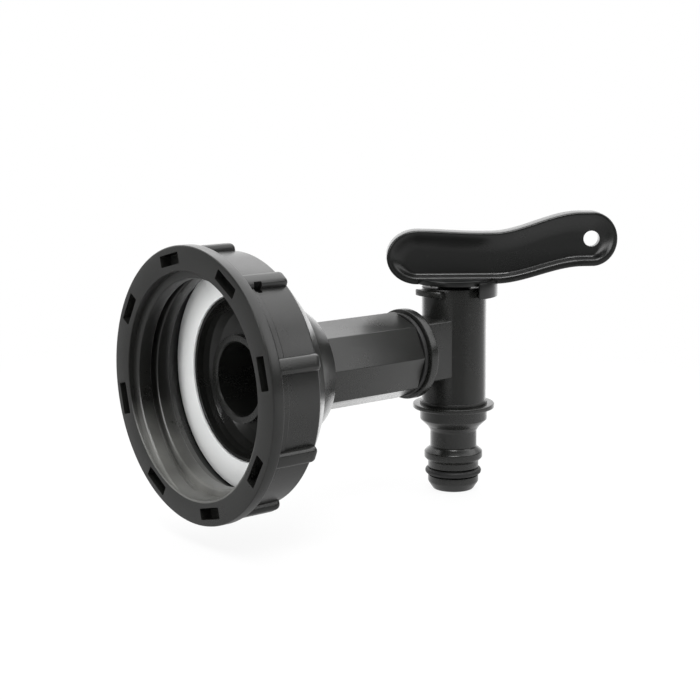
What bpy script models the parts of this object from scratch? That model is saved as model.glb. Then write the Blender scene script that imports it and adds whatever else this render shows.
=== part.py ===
# Tap adapter for a bulk liquid container: union nut, adapter body and lever tap.
# Run with: blender --background --python part.py
# The pipe axis is world X and the tap axis is upright. The origin is the middle of
# the sealing washer's front face, where the adapter seats on the container's outlet.
import math

import bmesh
import bpy
from mathutils import Matrix, Vector

MM = 0.001
GAP = 0.3

# Union nut, coarse 60 mm thread with 6 mm pitch
MOUTH_R = 30.3
NUT_WALL = 4.6
NUT_R = MOUTH_R + NUT_WALL
NUT_FRONT = -16.5
NUT_BACK = 7.0
BAND_R = NUT_R + 2.4
BAND_LEN = 3.4
NUT_CONE_START = 0.3
NUT_BACK_R = MOUTH_R - 2.5
RELIEF = 2.05
THREAD_CREST_R = MOUTH_R - 2.0
THREAD_PITCH = 6.0
THREAD_TURNS = 1.55
THREAD_START = -13.9
THREAD_PHASE = 275.0
THREAD_BASE = 4.9
THREAD_TOP = 4.0
RIB_COUNT = 9
RIB_PHASE = 15.5
RIB_R = NUT_R + 1.8
RIB_INNER_R = NUT_R - 2.3
RIB_WIDTH = 4.4
RIB_BACK = 0.4
RIB_CORNER = 2.4
SLOT_COUNT = 8
SLOT_PHASE = 14.0
SLOT_R = MOUTH_R + 3.5
SLOT_LENGTH = 8.8
SLOT_WIDTH = 3.1
SLOT_DEPTH = 3.3
NOTCH = 2.4

# Flat white washer, which goes in past the mouth and is held behind it
WASHER_R = MOUTH_R + 0.8
WASHER_WIDTH = 8.1
WASHER_HOLE_R = WASHER_R - WASHER_WIDTH
WASHER_T = 2.0

# Adapter body; its lip centres the washer
FLANGE_R = WASHER_R - 3.1
FLANGE_T = 2.2
LIP_FRONT = 0.3
LIP_WALL = 0.9
DISH_R = WASHER_HOLE_R - GAP - LIP_WALL
DISH_DEPTH = 5.6
TUBE_R = 12.1
TUBE_FRONT = -0.9
BORE_R = 10.0
HUB_WALL = 1.8
HUB_R = DISH_R + HUB_WALL
HUB_END = 9.6
CONE_R = 16.9
CONE_X = 19.4
BARREL_R = 12.6
BARREL_START = 25.2
BARREL_END = 55.4
BARREL_PHASE = 3.0
SOCKET_R = 10.6
SOCKET_DEPTH = 17.0

# Tap body
TAP_X = 78.0
GASKET_T = 1.4
GASKET_R = 12.2
DISC_R = 13.2
DISC_T = 2.9
BLOCK_HALF = 6.7
BLOCK_LOW = -8.2
BLOCK_HIGH = 9.4
CYL_R = 9.65
CYL_TOP = 18.2
INLET_R = 6.0
PLUG_BORE_R = 7.3
PLUG_BORE_LOW = -12.5
STOP_R = 12.2
STOP_LOW = 16.0
STOP_SWEEP = 52.0

# Outlet nipple, heights above the pipe axis
RING_R = 10.1
RING_TOP = -16.2
COLLAR_R = 12.25
COLLAR_TOP = -17.1
COLLAR_LOW = -18.5
BASE_LOW = -21.6
NECK_R = 7.0
NECK_TOP = -25.6
NECK_LOW = -30.4
LATCH_R = 8.75
LATCH_TOP = -31.9
LATCH_LOW = -33.7
SEAT_R = 7.6
SEAT_TOP = -34.9
NIPPLE_END = -43.5
NIPPLE_TIP_R = 6.0
NIPPLE_BORE_R = 5.0
NIPPLE_O_Z = -38.0
NIPPLE_O_RING = 7.5
NIPPLE_O_CORD = 0.95

# Turning plug
PLUG_R = PLUG_BORE_R - 0.35
PLUG_LOW = PLUG_BORE_LOW + GAP
PLUG_O_CORD = 0.7
PLUG_O_RING = PLUG_R - 0.65
PLUG_O_HIGH_Z = 13.0
PLUG_O_LOW_Z = -9.8
PLUG_HEAD_R = 5.0
PLUG_CAVITY_R = 4.9
PLUG_PORT_R = 4.6

# Lever
LEVER_ANGLE = -38.0
HUB_DISC_R = 11.5
HUB_DISC_LOW = CYL_TOP + 1.05
HUB_DISC_T = 1.6
LUG_R = 13.0
LUG_LOW = 15.5
LUG_FACE = 6.4
LUG_END = -12.0
CLOSED_TURN = -52.0
OPEN_TURN = 38.0
STOP_SLACK = 2.0
LEVER_T = 7.0
LEVER_WEB = 2.4
LEVER_HOLE_R = 2.35
LEVER_HOLE = (40.5, 32.1)
BLADE_LOW = 19.1
BLADE_TOP = 35.1
BLADE_DIP = 0.8
BLADE_LEFT = -20.2
BLADE_ROUND = -11.0
TIP_R = 8.0
TIP_WIDE = 7.4

for old in list(bpy.data.objects):
    bpy.data.objects.remove(old, do_unlink=True)
parts = bpy.data.collections.new("ibc_tap_adapter")
bpy.context.scene.collection.children.link(parts)
cutters = bpy.data.collections.new("cutters")
bpy.context.scene.collection.children.link(cutters)


def material(name, colour, roughness):
    """A plastic or rubber: base colour, roughness and no metal."""
    mat = bpy.data.materials.new(name)
    mat.use_nodes = True
    shader = mat.node_tree.nodes["Principled BSDF"]
    shader.inputs["Base Color"].default_value = (*colour, 1.0)
    shader.inputs["Roughness"].default_value = roughness
    shader.inputs["Metallic"].default_value = 0.0
    return mat


def add_object(name, mesh, collection=parts):
    """Link a new object for a mesh."""
    obj = bpy.data.objects.new(name, mesh)
    collection.objects.link(obj)
    return obj


def from_bmesh(name, bm, collection):
    """A new object around a finished bmesh, with its faces turned outwards."""
    bmesh.ops.recalc_face_normals(bm, faces=bm.faces)
    mesh = bpy.data.meshes.new(name)
    bm.to_mesh(mesh)
    bm.free()
    return add_object(name, mesh, collection)


def turned(name, outline, steps, along_x=False, collection=parts):
    """A turned piece from a closed outline of (radius, height) pairs in millimetres."""
    mesh = bpy.data.meshes.new(name)
    count = len(outline)
    verts = [(r * MM, 0.0, h * MM) for r, h in outline]
    edges = [(i, (i + 1) % count) for i in range(count)]
    edges = [(a, b) for a, b in edges if outline[a][0] > 0.0 or outline[b][0] > 0.0]
    mesh.from_pydata(verts, edges, [])
    obj = add_object(name, mesh, collection)
    screw = obj.modifiers.new("turn", "SCREW")
    screw.axis = "Z"
    screw.steps = steps
    screw.render_steps = steps
    screw.use_merge_vertices = True
    screw.merge_threshold = 0.00001
    screw.use_normal_calculate = True
    if along_x:
        obj.rotation_euler = (0.0, math.pi / 2, 0.0)
    return obj


def box(name, low, high):
    """A box between two corners, in millimetres."""
    low, high = Vector(low) * MM, Vector(high) * MM
    place = Matrix.Translation((low + high) / 2) @ Matrix.Diagonal((*(high - low), 1.0))
    bm = bmesh.new()
    bmesh.ops.create_cube(bm, size=1.0, matrix=place)
    return from_bmesh(name, bm, cutters)


def rod(name, radius, low, high, steps, axis="Z", turn=0.0):
    """A round or many-sided rod between two places on the X, Y or Z axis."""
    lay = {"X": Matrix.Rotation(math.pi / 2, 4, "Y"), "Y": Matrix.Rotation(-math.pi / 2, 4, "X"),
           "Z": Matrix()}[axis]
    place = (lay @ Matrix.Translation((0.0, 0.0, (low + high) / 2 * MM))
             @ Matrix.Rotation(math.radians(turn), 4, "Z"))
    bm = bmesh.new()
    bmesh.ops.create_cone(bm, cap_ends=True, segments=steps, radius1=radius * MM,
                          radius2=radius * MM, depth=(high - low) * MM, matrix=place)
    return from_bmesh(name, bm, cutters)


def bake(obj):
    """Apply an object's place and modifiers to its mesh."""
    bpy.context.view_layer.update()
    graph = bpy.context.evaluated_depsgraph_get()
    mesh = bpy.data.meshes.new_from_object(obj.evaluated_get(graph))
    mesh.transform(obj.matrix_world)
    bm = bmesh.new()
    bm.from_mesh(mesh)
    bmesh.ops.recalc_face_normals(bm, faces=bm.faces)
    bm.to_mesh(mesh)
    bm.free()
    obj.modifiers.clear()
    obj.data = mesh
    obj.matrix_world = Matrix()
    return obj


def plate(name, outline, low, high, upright=False):
    """A flat outline with a thickness between two levels, made as a filled curve.

    Lying flat, the outline is (x, y) and the levels are heights. Upright, the outline is
    (x, z) and the levels are depths along Y.
    """
    curve = bpy.data.curves.new(name, "CURVE")
    curve.dimensions = "2D"
    curve.fill_mode = "BOTH"
    curve.extrude = (high - low) / 2 * MM
    line = curve.splines.new("POLY")
    line.points.add(len(outline) - 1)
    for point, (a, b) in zip(line.points, outline):
        point.co = (a * MM, b * MM, 0.0, 1.0)
    line.use_cyclic_u = True
    flat = add_object(name, curve, cutters)
    middle = (low + high) / 2 * MM
    flat.rotation_euler = (math.pi / 2 if upright else 0.0, 0.0, 0.0)
    flat.location = (0.0, middle, 0.0) if upright else (0.0, 0.0, middle)
    bpy.context.view_layer.update()
    graph = bpy.context.evaluated_depsgraph_get()
    mesh = bpy.data.meshes.new_from_object(flat.evaluated_get(graph))
    bm = bmesh.new()
    bm.from_mesh(mesh)
    bm.transform(flat.matrix_world)
    bmesh.ops.remove_doubles(bm, verts=bm.verts, dist=0.001 * MM)
    bmesh.ops.dissolve_limit(bm, angle_limit=math.radians(0.5), verts=bm.verts, edges=bm.edges)
    bpy.data.objects.remove(flat, do_unlink=True)
    bpy.data.meshes.remove(mesh)
    return from_bmesh(name, bm, cutters)


def arc(radius, start, end, steps, centre=(0.0, 0.0)):
    """Points on an arc between two angles in degrees."""
    turns = [math.radians(start + (end - start) * i / steps) for i in range(steps + 1)]
    return [(centre[0] + radius * math.cos(a), centre[1] + radius * math.sin(a)) for a in turns]


def combine(obj, other, operation):
    """Add a Boolean that takes another object, kept as a hidden cutter."""
    for group in list(other.users_collection):
        group.objects.unlink(other)
    cutters.objects.link(other)
    other.hide_render = True
    other.display_type = "WIRE"
    boolean = obj.modifiers.new(other.name, "BOOLEAN")
    boolean.operation = operation
    boolean.solver = "EXACT"
    boolean.object = other
    return boolean


def join_all(name, pieces):
    """Several separate bodies in one cutter object."""
    bm = bmesh.new()
    for piece in pieces:
        mesh = bake(piece).data
        bm.from_mesh(mesh)
        bpy.data.objects.remove(piece, do_unlink=True)
    mesh = bpy.data.meshes.new(name)
    bm.to_mesh(mesh)
    bm.free()
    return add_object(name, mesh, cutters)


def round_shading(obj, angle=30.0):
    """Smooth shading that keeps the sharp edges."""
    mesh = obj.data
    mesh.shade_smooth()
    mesh.set_sharp_from_angle(angle=math.radians(angle))


def o_ring(name, centre, ring, cord, mat):
    """A rubber ring of round section about an upright axis."""
    bpy.ops.mesh.primitive_torus_add(major_segments=28, minor_segments=8,
                                     major_radius=ring * MM, minor_radius=cord * MM)
    obj = bpy.context.object
    for group in list(obj.users_collection):
        group.objects.unlink(obj)
    parts.objects.link(obj)
    obj.name = obj.data.name = name
    obj.location = Vector(centre) * MM
    obj.data.materials.append(mat)
    round_shading(obj, 60.0)
    return obj


# Coupling nut

def helical_ridge():
    """The nut's coarse inner thread, one ridge that runs in and out at its ends.

    Its faces are made here, because its section changes along the helix.
    """
    per_turn = 36
    count = int(THREAD_TURNS * per_turn)
    root = MOUTH_R + 0.35
    bm = bmesh.new()
    sections = []
    for i in range(count + 1):
        turn = 2 * math.pi * i / per_turn
        x = THREAD_START + THREAD_PITCH * i / per_turn
        fade = min(1.0, i / 5.0 + 0.12, (count - i) / 5.0 + 0.12)
        crest = root + (THREAD_CREST_R - root) * fade
        half_low = THREAD_BASE / 2
        half_top = THREAD_TOP / 2 + (THREAD_BASE - THREAD_TOP) / 2 * (1 - fade)
        turn += math.radians(THREAD_PHASE)
        spots = ((root, -half_low), (crest, -half_top), (crest, half_top), (root, half_low))
        sections.append([bm.verts.new(Vector((x + dx, r * math.cos(turn), r * math.sin(turn))) * MM)
                         for r, dx in spots])
    bm.faces.new(sections[0])
    bm.faces.new(sections[-1][::-1])
    for one, two in zip(sections, sections[1:]):
        for k in range(4):
            bm.faces.new((one[k], one[(k + 1) % 4], two[(k + 1) % 4], two[k]))
    return from_bmesh("thread_ridge", bm, cutters)


def grip_ribs():
    """Long rounded ribs around the nut, behind its front band."""
    ribs = []
    front = NUT_FRONT + BAND_LEN - 1.9
    corner = arc(RIB_CORNER, 0.0, 90.0, 3, (RIB_BACK - RIB_CORNER, RIB_R - RIB_CORNER))
    side = [(front, RIB_INNER_R), (RIB_BACK, RIB_INNER_R), *corner, (front, RIB_R)]
    for k in range(RIB_COUNT):
        rib = plate("rib", side, -RIB_WIDTH / 2, RIB_WIDTH / 2, upright=True)
        soft = rib.modifiers.new("soft", "BEVEL")
        soft.width = 1.2 * MM
        soft.segments = 2
        soft.limit_method = "ANGLE"
        soft.angle_limit = math.radians(60.0)
        rib.rotation_euler = (math.radians(90.0 - RIB_PHASE - k * 360.0 / RIB_COUNT), 0, 0)
        ribs.append(rib)
    return join_all("grip_ribs", ribs)


def face_slots():
    """Rectangular pockets in the nut's front face."""
    slots = []
    for k in range(SLOT_COUNT):
        low = (NUT_FRONT - 1.0, -SLOT_LENGTH / 2, SLOT_R - SLOT_WIDTH / 2)
        high = (NUT_FRONT + SLOT_DEPTH, SLOT_LENGTH / 2, SLOT_R + SLOT_WIDTH / 2)
        slot = box("slot", low, high)
        slot.rotation_euler = (math.radians(90.0 - SLOT_PHASE - k * 360.0 / SLOT_COUNT), 0, 0)
        slots.append(slot)
    return join_all("face_slots", slots)


def foot_notch():
    """The small square pocket at the foot of one rib, just behind the band."""
    front = NUT_FRONT + BAND_LEN + 2.2
    notch = box("foot_notch", (front, -RIB_WIDTH / 2 - 0.55 * NOTCH, NUT_R - 1.4),
                (front + NOTCH, -RIB_WIDTH / 2 + 0.37 * NOTCH, RIB_R + 1.0))
    notch.rotation_euler = (math.radians(90.0 - RIB_PHASE - 360.0 / RIB_COUNT), 0, 0)
    return bake(notch)


def make_nut(mat):
    """The union nut: band, cone back, inner lip, thread, ribs and pockets."""
    band_end = NUT_FRONT + BAND_LEN
    seat_r = FLANGE_R + 0.4
    lip_front = WASHER_T + GAP + FLANGE_T + GAP
    outline = [
        (MOUTH_R + 0.2, NUT_FRONT), (BAND_R - 0.5, NUT_FRONT), (BAND_R, NUT_FRONT + 0.5),
        (BAND_R, band_end - 0.3), (NUT_R + 0.3, band_end + 0.5), (NUT_R, band_end + 1.0),
        (NUT_R - 0.2, NUT_CONE_START - 0.8), (NUT_R - 0.7, NUT_CONE_START),
        (NUT_BACK_R + 0.6, NUT_BACK - 0.4), (NUT_BACK_R, NUT_BACK),
        (HUB_R + 0.8, NUT_BACK), (HUB_R + 0.5, NUT_BACK - 0.3), (HUB_R + 0.5, lip_front),
        (seat_r, lip_front), (seat_r, WASHER_T + GAP), (WASHER_R + GAP, WASHER_T + GAP),
        (WASHER_R + GAP, -RELIEF), (MOUTH_R + 0.2, -RELIEF - 0.25),
    ]
    nut = bake(turned("coupling_nut", outline, 60, along_x=True))
    combine(nut, grip_ribs(), "UNION")
    combine(nut, helical_ridge(), "UNION")
    combine(nut, face_slots(), "DIFFERENCE")
    combine(nut, foot_notch(), "DIFFERENCE")
    nut.data.materials.append(mat)
    round_shading(nut)
    return nut


# Washer and adapter body

def make_washer(mat):
    """The flat white sealing washer."""
    outline = [
        (WASHER_HOLE_R, 0.0), (WASHER_R - 0.2, 0.0), (WASHER_R, 0.2),
        (WASHER_R, WASHER_T - 0.2), (WASHER_R - 0.2, WASHER_T), (WASHER_HOLE_R, WASHER_T),
    ]
    washer = bake(turned("seal_washer", outline, 48, along_x=True))
    washer.data.materials.append(mat)
    round_shading(washer)
    return washer


def make_adapter(mat):
    """Flange, dish, centre tube, cone and eight-sided barrel with its thread socket."""
    face = WASHER_T + GAP
    back = face + FLANGE_T
    floor = face + DISH_DEPTH
    lip_r = WASHER_HOLE_R - GAP
    socket_x = BARREL_END - SOCKET_DEPTH
    outline = [
        (DISH_R, LIP_FRONT), (lip_r, LIP_FRONT), (lip_r, face), (FLANGE_R - 0.3, face),
        (FLANGE_R, face + 0.3), (FLANGE_R, back - 0.2), (FLANGE_R - 0.2, back),
        (HUB_R, back), (HUB_R, HUB_END),
        (CONE_R + 0.6, CONE_X - 0.8), (CONE_R, CONE_X), (CONE_R - 1.0, CONE_X + 0.6),
        (BARREL_R - 1.4, CONE_X + 2.5), (BARREL_R - 1.4, BARREL_START + 4.0),
        (BORE_R, BARREL_START + 4.0), (BORE_R, TUBE_FRONT + 0.4), (BORE_R + 0.3, TUBE_FRONT),
        (TUBE_R - 0.2, TUBE_FRONT), (TUBE_R, TUBE_FRONT + 0.2), (TUBE_R, floor - 0.6),
        (TUBE_R + 0.6, floor), (DISH_R - 5.0, floor), (DISH_R - 2.4, floor - 0.8),
        (DISH_R - 0.8, floor - 2.6), (DISH_R - 0.2, floor - 4.8),
    ]
    body = bake(turned("adapter_body", outline, 48, along_x=True))
    barrel = rod("barrel", BARREL_R, CONE_X - 2.0, BARREL_END, 8, "X", -BARREL_PHASE)
    combine(body, barrel, "UNION")
    bore = rod("bore", BORE_R, CONE_X - 4.0, BARREL_END + 1.0, 36, "X")
    combine(body, bore, "DIFFERENCE")
    socket = rod("socket", SOCKET_R, socket_x, BARREL_END + 2.0, 36, "X")
    combine(body, socket, "DIFFERENCE")
    body.data.materials.append(mat)
    round_shading(body)
    return body


def make_gasket(mat):
    """The black rubber ring between the barrel and the tap's disc."""
    low = BARREL_END + GAP
    high = low + GASKET_T
    outline = [(SOCKET_R + 0.1, low), (GASKET_R, low), (GASKET_R, high), (SOCKET_R + 0.1, high)]
    gasket = bake(turned("inlet_gasket", outline, 36, along_x=True))
    gasket.data.materials.append(mat)
    round_shading(gasket)
    return gasket


# Tap body

def stop_angles():
    """Start and end angles of the two stops, from where the lever's lug must be held."""
    face = math.degrees(math.acos(LUG_FACE / STOP_R))
    closed_end = 360.0 + LEVER_ANGLE + CLOSED_TURN - STOP_SLACK - face
    open_start = LEVER_ANGLE + OPEN_TURN + LUG_END + STOP_SLACK
    return ((closed_end - STOP_SWEEP, closed_end), (open_start, open_start + STOP_SWEEP))


def make_tap_body(mat):
    """Upright cylinder, neck block, disc and inlet spigot, two stops and the nipple."""
    seat = NIPPLE_O_RING - NIPPLE_O_CORD - GAP
    groove = NIPPLE_O_CORD + GAP
    outline = [
        (NIPPLE_BORE_R, PLUG_BORE_LOW), (PLUG_BORE_R, PLUG_BORE_LOW), (PLUG_BORE_R, CYL_TOP),
        (CYL_R - 0.3, CYL_TOP), (CYL_R, CYL_TOP - 0.3), (CYL_R, RING_TOP),
        (RING_R, RING_TOP), (RING_R, COLLAR_TOP), (COLLAR_R - 0.3, COLLAR_TOP),
        (COLLAR_R, COLLAR_TOP - 0.3), (COLLAR_R, COLLAR_LOW + 0.3), (COLLAR_R - 0.3, COLLAR_LOW),
        (RING_R, COLLAR_LOW), (RING_R, BASE_LOW), (RING_R - 0.4, BASE_LOW - 0.5),
        (NECK_R + 0.9, NECK_TOP + 1.6), (NECK_R + 0.2, NECK_TOP + 0.7), (NECK_R, NECK_TOP),
        (NECK_R, NECK_LOW), (LATCH_R, LATCH_TOP), (LATCH_R, LATCH_LOW),
        (SEAT_R, SEAT_TOP), (SEAT_R, NIPPLE_O_Z + groove), (seat, NIPPLE_O_Z + groove),
        (seat, NIPPLE_O_Z - groove), (SEAT_R, NIPPLE_O_Z - groove),
        (SEAT_R, NIPPLE_END + 2.4), (NIPPLE_TIP_R + 0.4, NIPPLE_END + 0.4),
        (NIPPLE_TIP_R, NIPPLE_END), (NIPPLE_BORE_R, NIPPLE_END),
    ]
    body = turned("tap_body", outline, 36)
    body.location = (TAP_X * MM, 0.0, 0.0)
    body = bake(body)
    disc_x = BARREL_END + 2 * GAP + GASKET_T
    spigot = [
        (0.0, disc_x - SOCKET_DEPTH + 1.0), (SOCKET_R - GAP - 0.5, disc_x - SOCKET_DEPTH + 1.0),
        (SOCKET_R - GAP, disc_x - SOCKET_DEPTH + 1.6), (SOCKET_R - GAP, disc_x),
        (DISC_R - 0.2, disc_x), (DISC_R, disc_x + 0.2), (DISC_R, disc_x + DISC_T - 0.3),
        (DISC_R - 0.3, disc_x + DISC_T), (0.0, disc_x + DISC_T),
    ]
    inlet = bake(turned("inlet_spigot", spigot, 36, along_x=True))
    combine(body, inlet, "UNION")
    block = box("neck_block", (disc_x + 0.5, -BLOCK_HALF, BLOCK_LOW),
                (TAP_X, BLOCK_HALF, BLOCK_HIGH))
    bevel = block.modifiers.new("soft", "BEVEL")
    bevel.width = 0.8 * MM
    bevel.segments = 2
    combine(body, bake(block), "UNION")
    stops = []
    for start, end in stop_angles():
        ring = arc(STOP_R, start, end, 6) + arc(CYL_R - 1.0, end, start, 6)
        stop = plate("stop", ring, STOP_LOW, CYL_TOP - 0.4)
        stop.location = (TAP_X * MM, 0.0, 0.0)
        stops.append(stop)
    combine(body, join_all("stop_sectors", stops), "UNION")
    well = rod("plug_well", PLUG_BORE_R, PLUG_BORE_LOW, CYL_TOP + 1.0, 36)
    well.location = (TAP_X * MM, 0.0, 0.0)
    combine(body, bake(well), "DIFFERENCE")
    water = rod("water_way", INLET_R, disc_x - SOCKET_DEPTH - 1.0, TAP_X - 2.0, 32, "X")
    combine(body, water, "DIFFERENCE")
    body.data.materials.append(mat)
    round_shading(body)
    return body


# Plug and lever, both modelled about the tap axis with the lever along +X

def turn_to_rest(obj):
    """Put a piece of the lever group on the tap axis at its rest angle."""
    obj.location = (TAP_X * MM, 0.0, 0.0)
    obj.rotation_euler = (0.0, 0.0, math.radians(LEVER_ANGLE))


def make_plug(mat):
    """The hollow turning plug with a side port opposite the lever's long arm."""
    groove_r = PLUG_O_RING - PLUG_O_CORD - GAP
    half = PLUG_O_CORD + GAP
    outline = [
        (0.0, PLUG_BORE_R - 0.5), (PLUG_CAVITY_R, PLUG_BORE_R - 0.5), (PLUG_CAVITY_R, PLUG_LOW),
        (PLUG_R, PLUG_LOW), (PLUG_R, PLUG_O_LOW_Z - half), (groove_r, PLUG_O_LOW_Z - half),
        (groove_r, PLUG_O_LOW_Z + half), (PLUG_R, PLUG_O_LOW_Z + half),
        (PLUG_R, PLUG_O_HIGH_Z - half), (groove_r, PLUG_O_HIGH_Z - half),
        (groove_r, PLUG_O_HIGH_Z + half), (PLUG_R, PLUG_O_HIGH_Z + half),
        (PLUG_R, CYL_TOP - 0.4), (PLUG_HEAD_R, CYL_TOP - 0.4),
        (PLUG_HEAD_R, HUB_DISC_LOW + 0.8), (0.0, HUB_DISC_LOW + 0.8),
    ]
    plug = bake(turned("valve_plug", outline[::-1], 36))
    port = rod("plug_port", PLUG_PORT_R, -PLUG_R - 2.0, 0.0, 32, "X")
    cut = combine(plug, port, "DIFFERENCE")
    cut.name = "port"
    plug = bake(plug)
    bpy.data.objects.remove(port, do_unlink=True)
    plug.data.materials.clear()
    plug.data.materials.append(mat)
    turn_to_rest(plug)
    round_shading(plug)
    return plug


def smooth_step(t):
    """An easing from 0 to 1."""
    t = max(0.0, min(1.0, t))
    return t * t * (3 - 2 * t)


def blade_edge(inset_low, inset_top, inset_end):
    """The lever's side view as points: low edge, raised tip, top edge, round left end."""
    tip_x, tip_z = LEVER_HOLE
    tall, wide = TIP_R - (inset_low + inset_top) / 2, TIP_WIDE - inset_end
    centre = tip_z + (inset_low - inset_top) / 2
    points = []
    for i in range(13):
        s = BLADE_ROUND + (tip_x - 2.5 - BLADE_ROUND) * i / 12
        rise = (tip_z - TIP_R - BLADE_LOW) * smooth_step((s - 12.0) / 26.0)
        points.append((s, BLADE_LOW + inset_low + rise))
    for i in range(1, 12):
        a = math.radians(-90 + 180 * i / 12)
        points.append((tip_x + wide * math.cos(a), centre + tall * math.sin(a)))
    for i in range(13):
        s = tip_x - 2.5 - (tip_x - 2.5 - BLADE_ROUND) * i / 12
        rise = (tip_z + TIP_R - BLADE_TOP + BLADE_DIP) * smooth_step((s - 11.0) / 26.0)
        points.append((s, BLADE_TOP - inset_top - BLADE_DIP * smooth_step((s + 12.0) / 20.0) + rise))
    mid = (points[0][1] + points[-1][1]) / 2
    tall = (points[-1][1] - points[0][1]) / 2
    wide = BLADE_ROUND - BLADE_LEFT - inset_end
    for i in range(1, 10):
        a = math.radians(90 + 180 * i / 10)
        points.append((BLADE_ROUND + wide * math.cos(a), mid + tall * math.sin(a)))
    return points


def web_pocket(side):
    """The recess on one side of the blade, with a steep foot and a long slope at its top.

    It is a loft, because its mouth and its floor have different outlines.
    """
    mouth, floor = blade_edge(2.3, 0.9, 1.3), blade_edge(2.6, 4.6, 4.4)
    levels = ((floor, LEVER_WEB / 2), (mouth, LEVER_T / 2), (mouth, LEVER_T / 2 + 1.0))
    bm = bmesh.new()
    rings = [[bm.verts.new(Vector((a, side * y, b)) * MM) for a, b in outline]
             for outline, y in levels]
    bm.faces.new(rings[0])
    bm.faces.new(rings[-1])
    for one, two in zip(rings, rings[1:]):
        for i in range(len(one)):
            j = (i + 1) % len(one)
            bm.faces.new((one[i], one[j], two[j], two[i]))
    return from_bmesh("pocket", bm, cutters)


def make_lever(mat):
    """Rimmed upright blade on a hub disc, with a stop lug under the disc."""
    lever = plate("lever", blade_edge(0.0, 0.0, 0.0), -LEVER_T / 2, LEVER_T / 2, upright=True)
    cutters.objects.unlink(lever)
    parts.objects.link(lever)
    bevel = lever.modifiers.new("soft", "BEVEL")
    bevel.width = 0.5 * MM
    bevel.segments = 2
    lever = bake(lever)
    combine(lever, join_all("web_pockets", [web_pocket(-1), web_pocket(1)]), "DIFFERENCE")
    disc_top = HUB_DISC_LOW + HUB_DISC_T
    hub_outline = [
        (0.0, HUB_DISC_LOW), (HUB_DISC_R - 0.3, HUB_DISC_LOW), (HUB_DISC_R, HUB_DISC_LOW + 0.3),
        (HUB_DISC_R, disc_top - 0.3), (HUB_DISC_R - 0.3, disc_top), (0.0, disc_top),
    ]
    combine(lever, bake(turned("lever_hub", hub_outline, 36)), "UNION")
    reach = [math.degrees(math.acos(LUG_FACE / r)) for r in (CYL_R + 0.5, LUG_R)]
    outline = arc(LUG_R, -reach[1], LUG_END, 6) + arc(CYL_R + 0.5, LUG_END, -reach[0], 5)
    combine(lever, plate("stop_lug", outline, LUG_LOW, HUB_DISC_LOW + 1.0), "UNION")
    seat = rod("head_seat", PLUG_HEAD_R + 0.3, HUB_DISC_LOW - 1.0, HUB_DISC_LOW + 1.1, 36)
    combine(lever, seat, "DIFFERENCE")
    hole = rod("hang_hole", LEVER_HOLE_R, -LEVER_T, LEVER_T, 32, "Y")
    hole.location = (LEVER_HOLE[0] * MM, 0.0, LEVER_HOLE[1] * MM)
    combine(lever, bake(hole), "DIFFERENCE")
    lever = bake(lever)
    for cutter in ("lever_hub", "stop_lug", "web_pockets", "head_seat", "hang_hole"):
        bpy.data.objects.remove(bpy.data.objects[cutter], do_unlink=True)
    lever.data.materials.clear()
    lever.data.materials.append(mat)
    turn_to_rest(lever)
    round_shading(lever)
    return lever


black = material("black_polypropylene", (0.030, 0.030, 0.029), 0.42)
body_black = material("black_body", (0.028, 0.028, 0.028), 0.38)
lever_black = material("black_lever", (0.014, 0.014, 0.014), 0.36)
white = material("white_polyethylene", (0.74, 0.75, 0.75), 0.45)
rubber = material("black_rubber", (0.010, 0.010, 0.010), 0.62)

make_nut(black)
make_washer(white)
make_adapter(body_black)
make_gasket(rubber)
make_tap_body(body_black)
make_plug(lever_black)
make_lever(lever_black)
o_ring("nipple_o_ring", (TAP_X, 0.0, NIPPLE_O_Z), NIPPLE_O_RING, NIPPLE_O_CORD, rubber)
o_ring("plug_o_ring_upper", (TAP_X, 0.0, PLUG_O_HIGH_Z), PLUG_O_RING, PLUG_O_CORD, rubber)
o_ring("plug_o_ring_lower", (TAP_X, 0.0, PLUG_O_LOW_Z), PLUG_O_RING, PLUG_O_CORD, rubber)
bpy.context.view_layer.update()
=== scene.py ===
# Studio scene of a tap adapter for a bulk liquid container.
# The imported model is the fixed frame; the pieces here are its finely finished forms.
# Sizes are in millimetres and become metres through MM. The pipe axis is X, the tap is upright.
import math

import bmesh
import bpy
from mathutils import Matrix, Vector


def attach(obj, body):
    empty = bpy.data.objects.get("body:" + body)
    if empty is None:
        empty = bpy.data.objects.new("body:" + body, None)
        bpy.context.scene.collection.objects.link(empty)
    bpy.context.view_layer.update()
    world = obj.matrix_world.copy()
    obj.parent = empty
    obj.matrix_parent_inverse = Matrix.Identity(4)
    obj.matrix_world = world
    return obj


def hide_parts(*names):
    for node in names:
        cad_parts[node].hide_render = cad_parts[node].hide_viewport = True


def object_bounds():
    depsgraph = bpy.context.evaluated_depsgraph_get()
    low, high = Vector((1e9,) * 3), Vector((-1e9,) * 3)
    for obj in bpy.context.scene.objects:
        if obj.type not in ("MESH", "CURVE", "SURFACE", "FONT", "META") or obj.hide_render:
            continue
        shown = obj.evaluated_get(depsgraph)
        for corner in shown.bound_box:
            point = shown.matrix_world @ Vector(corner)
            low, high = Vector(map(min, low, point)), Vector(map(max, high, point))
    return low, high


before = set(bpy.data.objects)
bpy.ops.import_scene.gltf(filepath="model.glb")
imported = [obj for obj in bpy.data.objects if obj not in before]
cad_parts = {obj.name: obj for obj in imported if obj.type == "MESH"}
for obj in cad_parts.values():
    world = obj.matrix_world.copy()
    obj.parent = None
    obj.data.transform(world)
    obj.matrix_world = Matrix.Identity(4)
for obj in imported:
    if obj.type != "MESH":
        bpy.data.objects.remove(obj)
cad_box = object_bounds()

MM = 0.001

# Sizes that several pieces share

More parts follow.
